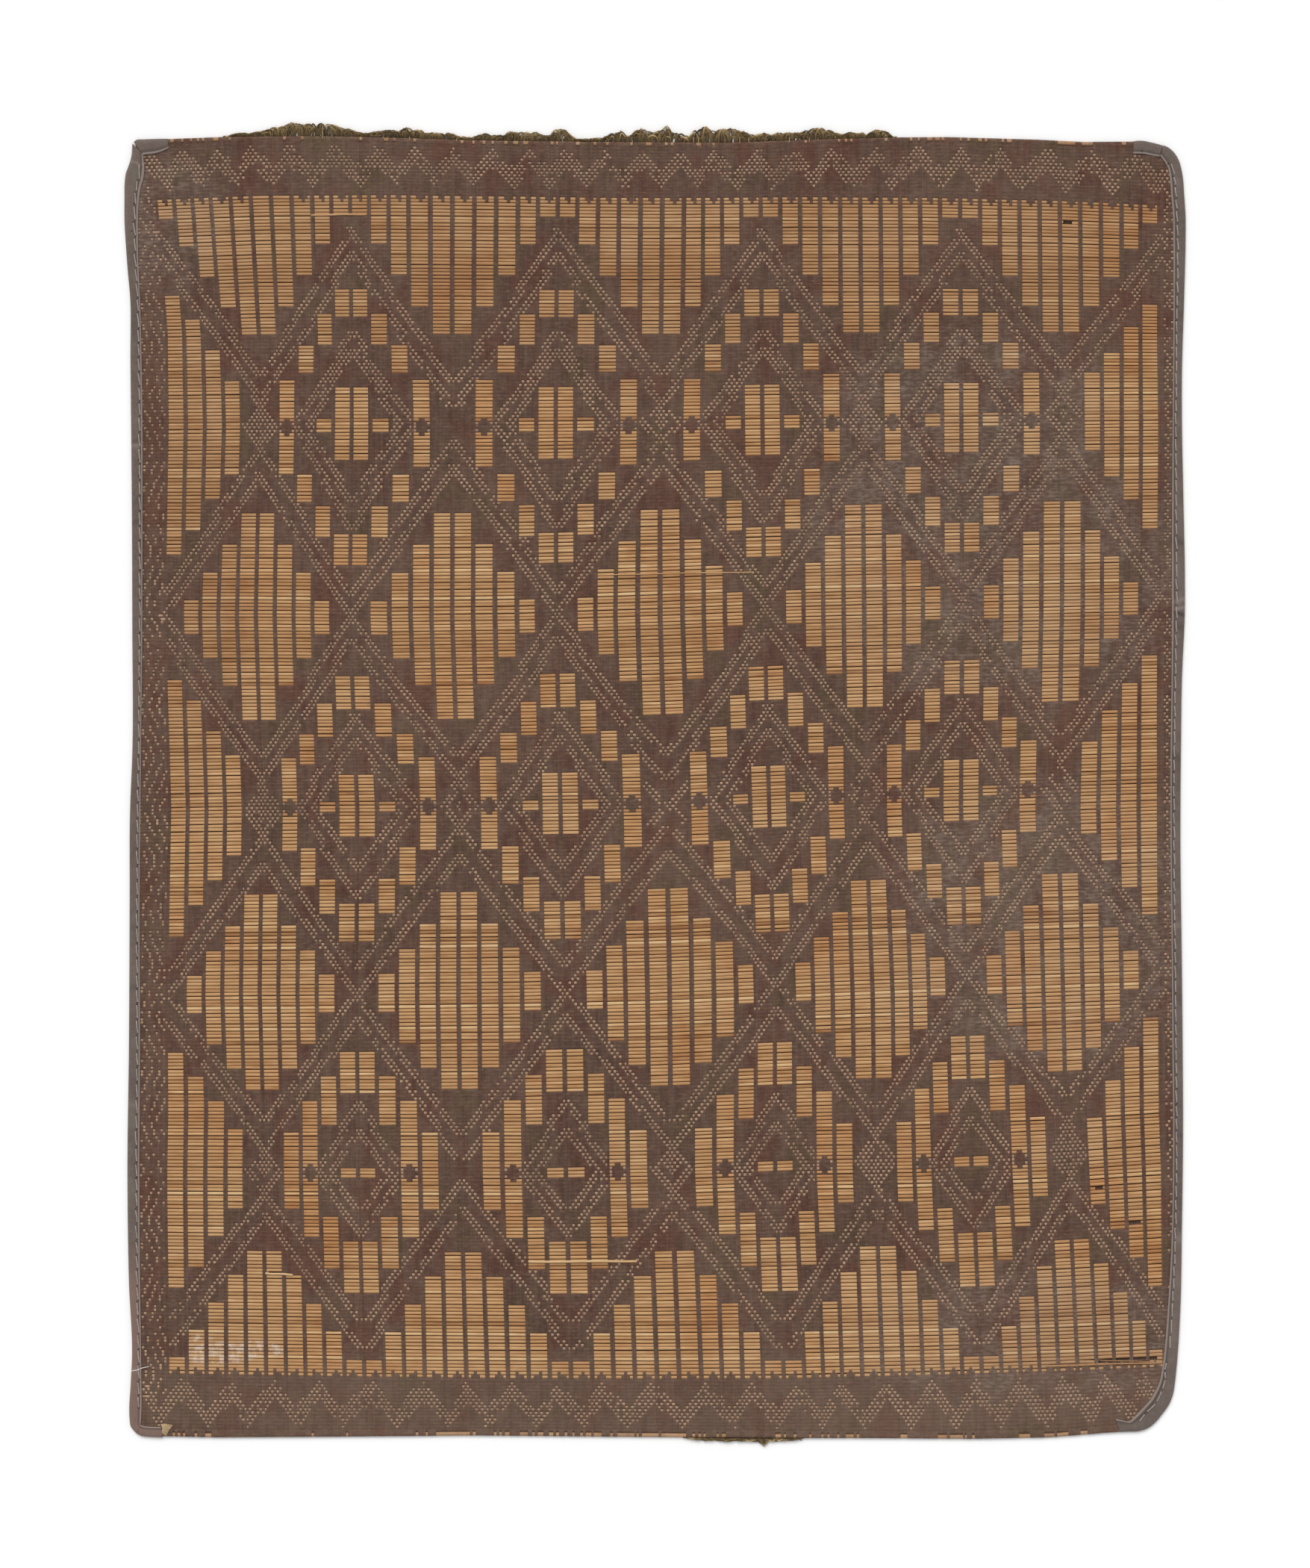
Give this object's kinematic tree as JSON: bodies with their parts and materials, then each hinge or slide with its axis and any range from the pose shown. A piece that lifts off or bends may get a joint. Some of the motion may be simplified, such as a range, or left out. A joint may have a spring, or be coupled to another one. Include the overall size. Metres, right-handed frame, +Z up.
{
  "type": "tuareg mat",
  "caption": "Flat mat of straw-coloured reeds woven with dark leather strips in stepped diamonds, with folded leather side bindings, leather-wrapped end rods and a short leather fringe.",
  "frame": {"origin": "middle of the whole outline, on the floor under the mat", "axes": "+Z up from the floor, +Y along the leather strips to the top edge with the longer fringe, +X along the reeds to the side with the wide rounded corner"},
  "size_m": [1.421, 1.771, 0.0063],
  "materials": {
    "reed": "dry straw-coloured grass stem, satin, with darker joints between stems",
    "strip_leather": "dark brown goat leather strips, matt and dusty, with olive and reddish patches",
    "binding_leather": "grey-mauve leather, soft sheen, folded over the sides and sewn with a pale thong",
    "fringe_leather": "dark olive-brown twisted leather thongs, matt"
  },
  "bodies": {
    "root": {"woven_panel": "strip_leather", "binding_left": "binding_leather", "binding_right": "binding_leather", "corner_top_left": "binding_leather", "corner_top_right": "binding_leather", "corner_bottom_left": "binding_leather", "end_rod_top": "reed", "end_rod_bottom": "reed", "fringe_top_left": "fringe_leather", "fringe_top_mid": "fringe_leather", "fringe_top_right": "fringe_leather", "fringe_bottom": "fringe_leather"}
  },
  "joints": []
}
